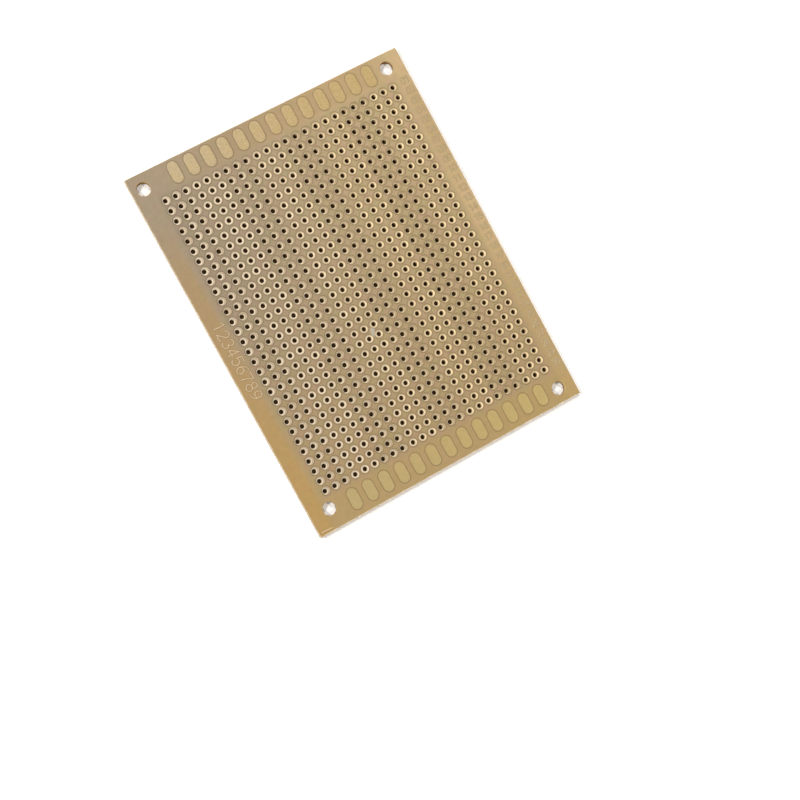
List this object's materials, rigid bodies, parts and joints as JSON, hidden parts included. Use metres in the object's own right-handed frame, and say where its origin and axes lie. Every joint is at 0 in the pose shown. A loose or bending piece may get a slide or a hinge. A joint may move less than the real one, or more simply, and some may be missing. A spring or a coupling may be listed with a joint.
{
  "type": "prototype board",
  "caption": "Single-sided prototype board: a punched tan phenolic sheet with a square grid of round foil pads, oval pads along both short edges and corner screw holes.",
  "frame": {"origin": "centre of the sheet's underside", "axes": "+X along the short edge, +Y along the long edge, +Z out of the foil side"},
  "size_m": [0.0696, 0.0904, 0.0016],
  "materials": {
    "laminate": "satin tan phenolic under a thin clear lacquer",
    "round_pads": "pale tinned foil under a thin clear lacquer",
    "oval_pads": "speckled lacquered foil"
  },
  "bodies": {
    "root": {"laminate": "laminate", "round_pads": "round_pads", "oval_pads": "oval_pads"}
  },
  "joints": []
}
